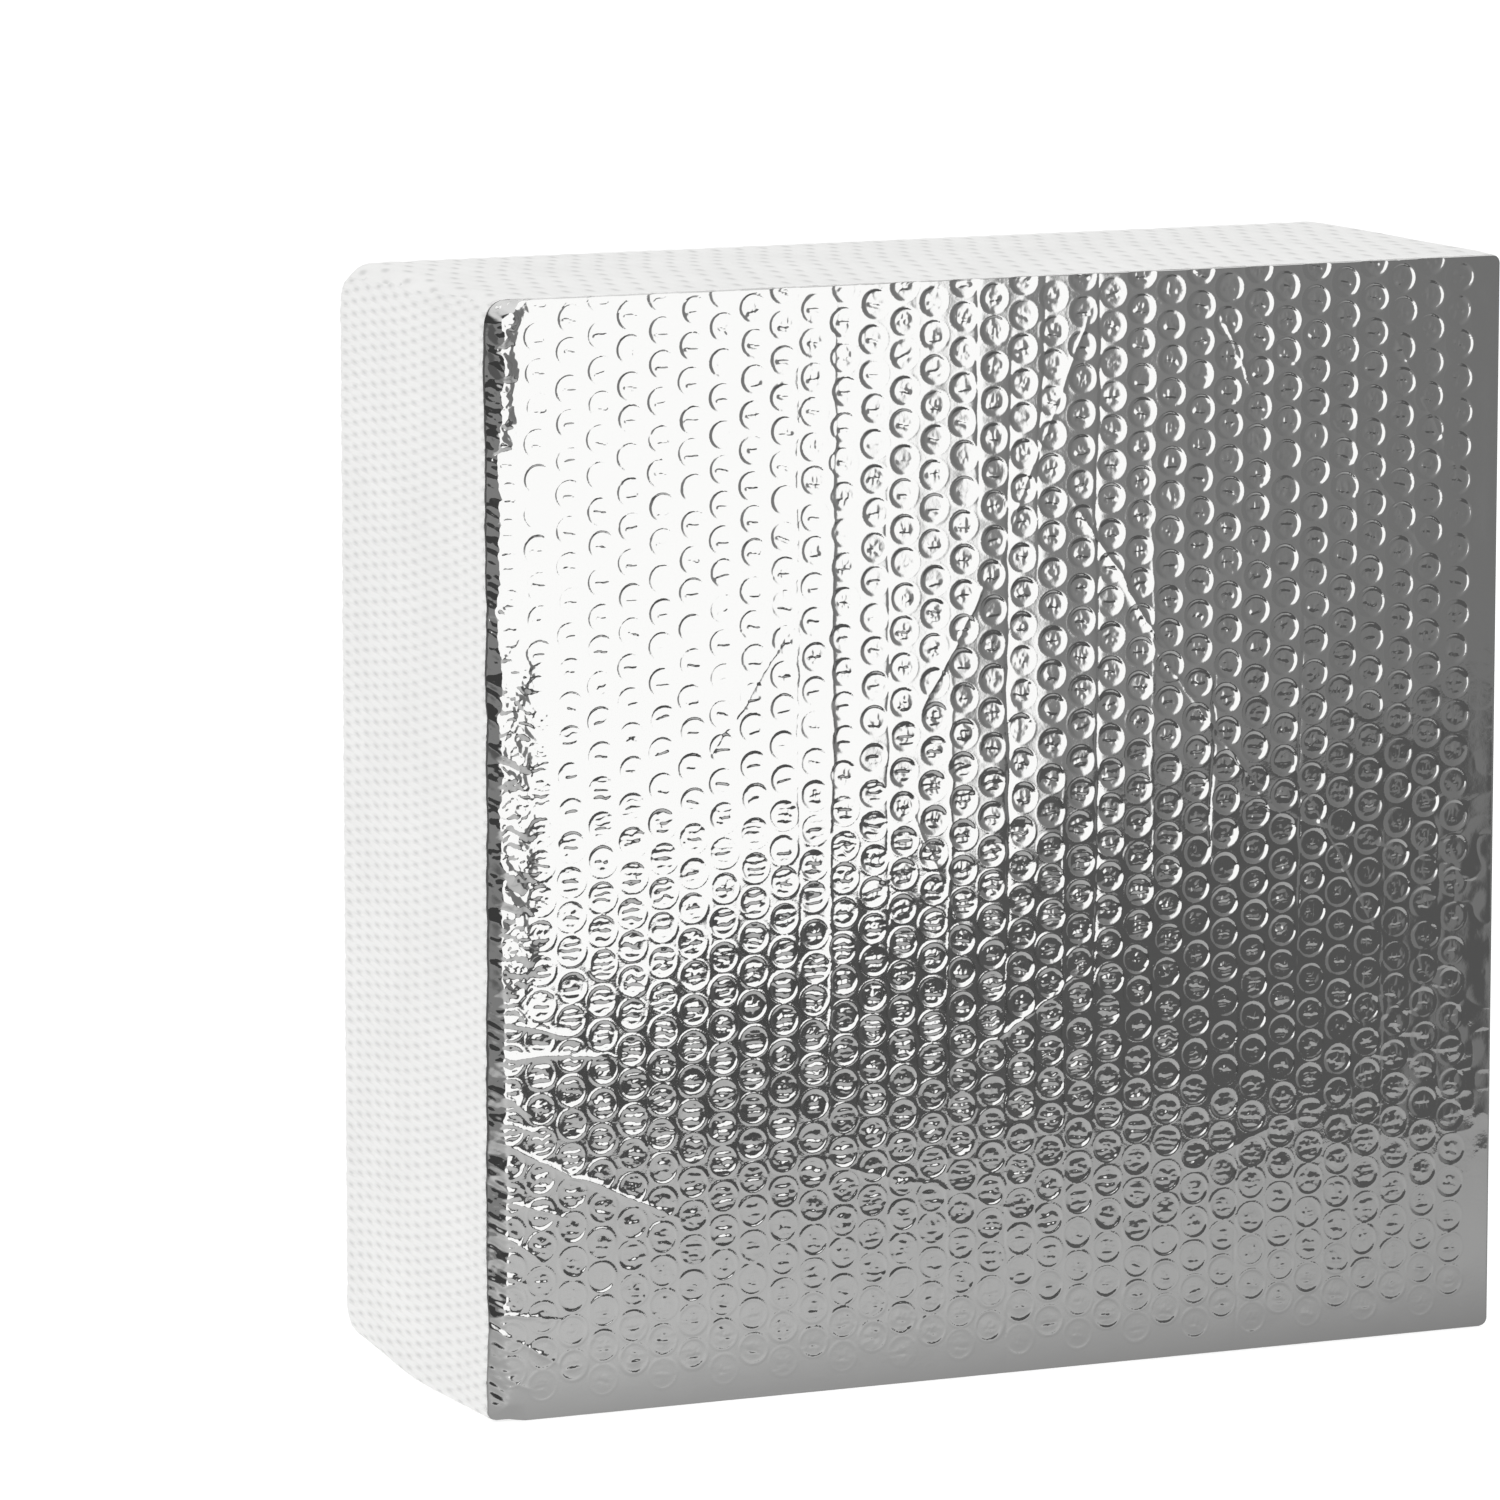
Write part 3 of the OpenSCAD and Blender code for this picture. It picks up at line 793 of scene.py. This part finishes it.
def makeBand():
    c = cover
    front, back = webY + 0.35, pad["backY"] - 0.2
    deep = back - front
    # profile of the strip: how far into its depth, and how far in from the outside
    hem = [(7, 2.3), (3, 2.2), (0.9, 1.5), (0.25, 0.85), (0.05, 0.45), (0.25, 0.18), (0.8, 0.04)]
    inside = [(v, 0.0) for v in np.linspace(2.2, deep - 2.2, 46)]
    profile = hem + inside + [(deep - v, into) for v, into in hem[::-1]]
    loops, uvs = [], []
    walked = 0
    last = None
    for v, into in profile:
        radii = cornerRadii(min(max(v / deep, 0), 1))
        loop = outlineLoop(into, radii, c["perSide"], c["perCorner"], c["jointX"])
        run = np.concatenate([[0], np.cumsum(np.linalg.norm(np.diff(loop, axis=0), axis=1))])
        step = np.gradient(loop, axis=0)
        outward = np.stack([-step[:, 1], step[:, 0]], 1)
        outward /= np.linalg.norm(outward, axis=1)[:, None]
        seam = min(v, deep - v)
        swell = c["crown"] * math.sin(math.pi * min(max(v / deep, 0), 1)) ** 0.6 if into == 0 else 0
        gathers = np.sin(2 * np.pi * run / c["puckerPitch"] + 2.5 * softNoise(run, run * 0, 30, 3))
        gathers = gathers * (0.6 + 0.4 * softNoise(run, run * 0 + 9, 21, 4))
        offset = swell - c["pucker"] * (0.5 + 0.5 * gathers) * math.exp(-seam / 5) * (into < 1)
        offset = offset + 0.35 * softNoise(run, run * 0 + v, 55, 8) * smooth(0, 15, np.array(seam))
        base = smooth(2, -1, loop[:, 1])  # the base stays flat on what it stands on
        offset = offset * (1 - 0.85 * base)
        place = loop + outward * offset[:, None]
        y = front + v + 0.25 * softNoise(run, run * 0 + 2, 7, 11) * math.exp(-seam / 4)
        hidden = 1.2 if into > 0.3 and v < deep / 2 else 0
        follow = gatheredFall(0 * run, loop[:, 1]) * float(smooth(30, 0, np.array(v))) + hidden
        teeth = np.sin(2 * np.pi * run / 3.1 + 2 * softNoise(run, run * 0, 12, 19)) * math.exp(-seam / 1.2)
        y = y + leftShare(loop[:, 0]) * (follow + 0.3 * teeth)
        y = y + (1 - leftShare(loop[:, 0])) * 0.45 * hidden  # behind the hollows of the foil
        loops.append(np.stack([place[:, 0], y, place[:, 1]], 1))
        if last is not None:
            walked += math.hypot(v - last[0], into - last[1])
        last = (v, into)
        uvs.append(np.stack([np.full(len(run), walked), run], 1))
    # the loop is open at the joint, where both ends turn in
    for k in range(len(loops)):
        first, end = loops[k][0].copy(), loops[k][0].copy()
        first[0] -= 0.12
        end[0] += 0.12
        tuck = [first + np.array([0, 0, up]) for up in (6, 2.2, 1.0)]
        tuckEnd = [end + np.array([0, 0, up]) for up in (1.0, 2.2, 6)]
        loops[k][0] = first
        loops[k] = np.concatenate([tuck, loops[k], [end], tuckEnd])
        u = uvs[k]
        total = u[-1, 1] + np.linalg.norm(loops[k][-5] - loops[k][-4])
        low = np.array([[u[0, 0], -s] for s in (6, 2.2, 1.0)])
        high = np.array([[u[0, 0], total + s] for s in (0, 1.0, 2.2, 6)])
        uvs[k] = np.concatenate([low, u, high])
    n = len(loops[0])
    points = billowed(np.concatenate(loops))
    quads = gridQuads(len(loops), n)
    uv = np.concatenate(uvs)[quads]
    turned = uv[..., ::-1] * (clothWeave["pitch"] / clothWeave["topPitch"],
                              clothWeave["row"] / clothWeave["topRow"])
    middle = points[quads].mean(1)
    onTop = pad["height"] - middle[:, 2] < pad["width"] / 2 - np.abs(middle[:, 0])
    uv = np.where(onTop[:, None, None], turned, uv)
    piece = meshFromQuads("sideBand", points, quads, clothFinish, uv)
    thick = piece.modifiers.new("cloth", "SOLIDIFY")
    thick.thickness = c["thickness"] * mm
    thick.offset = -1
    standFor(piece, "side_band")
    return piece


def makeBack():
    w, h = pad["width"], pad["height"]
    radii = corners["back"]
    rings = []
    spread = np.concatenate([[0.75, 1.1, 1.8, 3, 5], np.linspace(8, w / 2 - 2, 54)])
    turned = [(7.5, 2.6), (3.5, 2.4), (1.3, 1.7), (0.5, 1.1)]
    uvs = []
    for deep, into in turned:
        loop = outlineLoop(into, radii, cover["perSide"], cover["perCorner"])
        rings.append(np.stack([loop[:, 0], np.full(len(loop), pad["backY"] - deep), loop[:, 1]], 1))
        uvs.append(loop + (loop - np.array([0, h / 2])) * deep / (w / 2))
    for into in spread:
        shrink = 1 - (into - 0.75) / (w / 2 - 0.75)
        edge = outlineLoop(0.75, radii, cover["perSide"], cover["perCorner"])
        centre = np.array([0, h / 2])
        near = outlineLoop(min(into, 11), radii, cover["perSide"], cover["perCorner"])
        blend = float(smooth(5, 40, np.array(into)))
        loop = near * (1 - blend) + (centre + (edge - centre) * shrink) * blend if into > 5 else near
        x, z = loop[:, 0], loop[:, 1]
        d = into - 0.75
        run = np.concatenate([[0], np.cumsum(np.linalg.norm(np.diff(edge, axis=0), axis=1))])
        gathers = np.sin(2 * np.pi * run / cover["puckerPitch"] + 2.5 * softNoise(run, run * 0, 30, 13))
        gathers = 0.5 + 0.5 * gathers
        y = pad["backY"] - 0.35 * math.exp(-d / 0.8) + 1.4 * (1 - math.exp(-d / 45))
        y = y - cover["pucker"] * gathers * math.exp(-d / 5) * float(smooth(0, 1.5, np.array(d)))
        y = y + 0.4 * softNoise(x, z, 60, 14) * float(smooth(2, 25, np.array(d)))
        rings.append(np.stack([x, y, z], 1))
        uvs.append(loop)
    n = len(rings[0])
    points = billowed(np.concatenate(rings))
    quads = gridQuads(len(rings), n, closed=True, flip=True)
    piece = meshFromQuads("backPanel", points, quads, clothFinish, np.concatenate(uvs)[quads])
    bm = bmesh.new()
    bm.from_mesh(piece.data)
    bm.verts.ensure_lookup_table()
    layer = bm.loops.layers.uv["cloth"]
    face = bm.faces.new([bm.verts[len(points) - n + k] for k in range(n)])
    for loop in face.loops:
        loop[layer].uv = loop.vert.co.xz
    face.smooth = True
    bmesh.ops.recalc_face_normals(bm, faces=bm.faces)
    bm.to_mesh(piece.data)
    bm.free()
    thick = piece.modifiers.new("cloth", "SOLIDIFY")
    thick.thickness = cover["thickness"] * mm
    thick.offset = -1
    standFor(piece, "back_panel")
    return piece


makeBand()
makeBack()
print("cover made")


def makeFrontThread():
    # the front seam's thread lies in the seam, behind the rolled edge of the foil, and follows it
    centre = outlineLoop(2.1, corners["front"], cover["perSide"], 8)
    y = webY + 1.5 + leftShare(centre[:, 0]) * gatheredFall(0 * centre[:, 1], centre[:, 1])
    inward = np.array([0, pad["height"] / 2]) - centre
    inward /= np.linalg.norm(inward, axis=1)[:, None]
    rings = []
    for turn in np.linspace(0, 2 * np.pi, 6, endpoint=False):
        flat = centre + inward * 0.3 * math.cos(turn)
        rings.append(np.stack([flat[:, 0], y + 0.3 * math.sin(turn), flat[:, 1]], 1))
    rings.append(rings[0])
    quads = gridQuads(7, len(centre), closed=True)
    last = 6 * len(centre)
    quads = np.where(quads >= last, quads - last, quads)
    piece = meshFromQuads("frontSeamThread", np.concatenate(rings[:6]), quads, threadFinish)
    standFor(piece, "front_seam_thread")


makeFrontThread()
for name in ("back_seam_thread", "band_seam_thread"):
    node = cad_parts[name]
    node.data.materials.clear()
    node.data.materials.append(threadFinish)


studio = {
    "azimuth": -24.0,
    "elevation": 8.8,
    "distance": 3.0,
    "lens": 220.6,
    "aimRight": -0.056,
    "aimUp": 0.017,
}


def makeCamera():
    s = studio
    a, e = math.radians(s["azimuth"]), math.radians(s["elevation"])
    back = Vector((math.sin(a) * math.cos(e), -math.cos(a) * math.cos(e), math.sin(e)))
    right = (-back).cross(Vector((0, 0, 1))).normalized()
    up = right.cross(-back)
    aim = Vector((0, 0, pad["height"] / 2 * mm)) + right * s["aimRight"] + up * s["aimUp"]
    data = bpy.data.cameras.new("camera")
    data.lens = s["lens"]
    data.sensor_width = 36
    data.clip_end = 50
    camera = addPiece("camera", data)
    camera.location = aim + back * s["distance"]
    camera.rotation_euler = (-back).to_track_quat("-Z", "Y").to_euler()
    bpy.context.scene.camera = camera


def plane(name, points, material):
    mesh = bpy.data.meshes.new(name)
    mesh.from_pydata(points, [], [(0, 1, 2, 3)])
    mesh.materials.append(material)
    piece = addPiece(name, mesh)
    return piece


paintedFloorShine = {
    "left": 0.61,
    "right": 0.27,
    "farLeftShade": 0.38,  # painted shade: share that is left of it beyond the pad
    "near": 0.45,  # and close to the pad, where a shadow is painted
}


def makeFloor():
    # white to the eye with a soft shadow under the pad; in the shine of the foil it glows instead, a painted
    # reflection: grey, lighter on the left, darker far left, with a painted shadow close to the pad
    material, tree = newMaterial("paleFloor")
    path = addNode(tree, "ShaderNodeLightPath")
    paper = addNode(tree, "ShaderNodeBsdfDiffuse", {"Color": linear("#c8c8c8")})
    lift = addNode(tree, "ShaderNodeEmission", {"Strength": 0.62})
    lit = addNode(tree, "ShaderNodeAddShader", links={0: paper.outputs["BSDF"],
                                                      1: lift.outputs["Emission"]})
    place = addNode(tree, "ShaderNodeTexCoord")
    parts = addNode(tree, "ShaderNodeSeparateXYZ", links={"Vector": place.outputs["Object"]})
    tone = addNode(tree, "ShaderNodeMapRange",
                   {"From Min": -0.2, "From Max": 0.45,
                    "To Min": paintedFloorShine["left"], "To Max": paintedFloorShine["right"]},
                   {"Value": parts.outputs["X"]})
    dark = addNode(tree, "ShaderNodeMapRange", {"interpolation_type": "SMOOTHSTEP", "From Min": -0.48,
                                                "From Max": -0.26, "To Min": paintedFloorShine["farLeftShade"]},
                   {"Value": parts.outputs["X"]})
    # painted shadow in the shine, darker close to the pad
    near = addNode(tree, "ShaderNodeMapRange",
                   {"interpolation_type": "SMOOTHSTEP", "From Min": -0.2, "From Max": 0.02,
                    "To Min": 1.0, "To Max": paintedFloorShine["near"]},
                   {"Value": parts.outputs["Y"]})
    side = addNode(tree, "ShaderNodeMath", {"operation": "MULTIPLY"},
                   {0: tone.outputs["Result"], 1: dark.outputs["Result"]})
    both = addNode(tree, "ShaderNodeMath", {"operation": "MULTIPLY"},
                   {0: side.outputs[0], 1: near.outputs["Result"]})
    glow = addNode(tree, "ShaderNodeEmission", links={"Strength": both.outputs[0]})
    mix = addNode(tree, "ShaderNodeMixShader", links={"Fac": path.outputs["Is Glossy Ray"],
                                                      1: lit.outputs["Shader"], 2: glow.outputs["Emission"]})
    finishMaterial(tree, mix.outputs["Shader"])
    plane("floor", [(-8, -8, 0), (8, -8, 0), (8, 8, 0), (-8, 8, 0)], material)


# tones of the painted reflection card: a softbox, a dark flag and a grey wall, all painted as glow
paintedReflectionTones = {
    "left": (-0.40, -0.581),  # x and y of the ends of the card, in metres
    "right": (1.10, -0.116),
    "top": 1.1,
    "white": 1.15,
    "grey": (0.25, 0.165),  # left and right
    "edge": 0.19,  # past the right end of that wall
    "dark": (0.068, 0.095),  # painted shade standing for the flag, left and right
    "greyFrom": (0.135, 0.188),  # where the white turns grey
    "darkFrom": (0.06, 0.20),
    "darkTop": (0.044, 0.060),  # height of the dark band at the middle
    "darkRise": 0.33,  # how steeply its top rises to the right
    "edgeFrom": (0.315, 0.36),
}


def makePaintedReflectionCard():
    # a glowing card that lights nothing and shows only in the shine of the foil: a painted reflection of a
    # softbox with a dark flag under it and a grey wall beside it
    material, tree = newMaterial("paintedReflectionCard")
    place = addNode(tree, "ShaderNodeTexCoord")
    parts = addNode(tree, "ShaderNodeSeparateXYZ", links={"Vector": place.outputs["Object"]})

    x, z = parts.outputs["X"], parts.outputs["Z"]
    # painted reflection: white as far as the middle, grey beyond it, over a dark band that rises to the
    # right
    lower = addNode(tree, "ShaderNodeMath", {"operation": "MULTIPLY_ADD", 1: -paintedReflectionTones["darkRise"]},
                    {0: x, 2: z})
    far = addNode(tree, "ShaderNodeMapRange",
                  {"From Min": 0.18, "From Max": 0.38, "To Min": paintedReflectionTones["grey"][0], "To Max": paintedReflectionTones["grey"][1]},
                  {"Value": x})
    steps = []
    for value, (low, high) in ((x, paintedReflectionTones["greyFrom"]), (x, paintedReflectionTones["darkFrom"]),
                               (lower.outputs[0], paintedReflectionTones["darkTop"]), (x, paintedReflectionTones["edgeFrom"])):
        step = addNode(tree, "ShaderNodeMapRange", {"interpolation_type": "SMOOTHSTEP", "From Min": low,
                                                    "From Max": high}, {"Value": value})
        steps.append(step.outputs["Result"])
    wall = addNode(tree, "ShaderNodeMix", {"data_type": "FLOAT", 2: paintedReflectionTones["white"]},
                   {"Factor": steps[0], 3: far.outputs["Result"]})
    foot = addNode(tree, "ShaderNodeMix", {"data_type": "FLOAT", 2: paintedReflectionTones["dark"][0], 3: paintedReflectionTones["dark"][1]},
                   {"Factor": steps[1]})
    near = addNode(tree, "ShaderNodeMix", {"data_type": "FLOAT"},
                   {"Factor": steps[2], 2: foot.outputs[0], 3: wall.outputs[0]})
    level = addNode(tree, "ShaderNodeMix", {"data_type": "FLOAT", 3: paintedReflectionTones["edge"]},
                    {"Factor": steps[3], 2: near.outputs[0]})
    glow = addNode(tree, "ShaderNodeEmission", links={"Strength": level.outputs[0]})
    finishMaterial(tree, glow.outputs["Emission"])
    (x0, y0), (x1, y1), top = paintedReflectionTones["left"], paintedReflectionTones["right"], paintedReflectionTones["top"]
    piece = plane("paintedReflectionCard", [(x0, y0, 0), (x1, y1, 0), (x1, y1, top), (x0, y0, top)], material)
    piece.visible_camera = False
    piece.visible_diffuse = False
    piece.visible_shadow = False
    piece.visible_transmission = False


sky = {
    "fill": (0.46, 1.12),  # light on the cloth, from the horizon and from overhead
    "shineSide": (0.06, 0.2),  # painted reflection: what the foil sees on the left and on the right
    "shineOver": 0.85,  # and overhead, on top of that
}


def makeWorld():
    # even white light; the shine of the foil sees a painted reflection instead, dark on the left and grey
    # elsewhere
    world = bpy.data.worlds.new("studio")
    bpy.context.scene.world = world
    world.use_nodes = True
    tree = world.node_tree
    tree.nodes.clear()
    path = addNode(tree, "ShaderNodeLightPath")
    place = addNode(tree, "ShaderNodeTexCoord")
    parts = addNode(tree, "ShaderNodeSeparateXYZ", links={"Vector": place.outputs["Generated"]})
    side = addNode(tree, "ShaderNodeMapRange",
                   {"interpolation_type": "SMOOTHSTEP", "From Min": -0.75, "From Max": 0.2,
                    "To Min": sky["shineSide"][0], "To Max": sky["shineSide"][1]},
                   {"Value": parts.outputs["X"]})
    plain = addNode(tree, "ShaderNodeBackground", {"Color": linear("#ffffff"), "Strength": 1.0})
    above = addNode(tree, "ShaderNodeMapRange", {"To Min": sky["fill"][0], "To Max": sky["fill"][1]},
                    {"Value": parts.outputs["Z"]})
    fill = addNode(tree, "ShaderNodeBackground", {"Color": linear("#ffffff")},
                   {"Strength": above.outputs["Result"]})
    over = addNode(tree, "ShaderNodeMapRange", {"interpolation_type": "SMOOTHSTEP", "From Min": 0.45,
                                                "From Max": 0.8, "To Max": sky["shineOver"]},
                   {"Value": parts.outputs["Z"]})
    tone = addNode(tree, "ShaderNodeMath", {"operation": "ADD"},
                   {0: side.outputs["Result"], 1: over.outputs["Result"]})
    shine = addNode(tree, "ShaderNodeBackground", links={"Strength": tone.outputs[0]})
    first = addNode(tree, "ShaderNodeMixShader", links={"Fac": path.outputs["Is Camera Ray"],
                                                        1: fill.outputs[0], 2: plain.outputs[0]})
    second = addNode(tree, "ShaderNodeMixShader", links={"Fac": path.outputs["Is Glossy Ray"],
                                                         1: first.outputs[0], 2: shine.outputs[0]})
    addNode(tree, "ShaderNodeOutputWorld", links={"Surface": second.outputs[0]})


def makeLight(name, place, aim, size, power):
    data = bpy.data.lights.new(name, "AREA")
    data.shape = "SQUARE"
    data.size = size
    data.energy = power
    lamp = addPiece(name, data)
    lamp.location = place
    lamp.rotation_euler = (Vector(aim) - Vector(place)).to_track_quat("-Z", "Y").to_euler()
    lamp.visible_glossy = False
    return lamp


makeCamera()
makeFloor()
makePaintedReflectionCard()
makeWorld()
makeLight("keyLight", place=(-1.6, -1.6, 2.8), aim=(0, 0, 0.15), size=1.2, power=14)
bpy.context.scene.view_settings.view_transform = "Standard"
print("studio made")
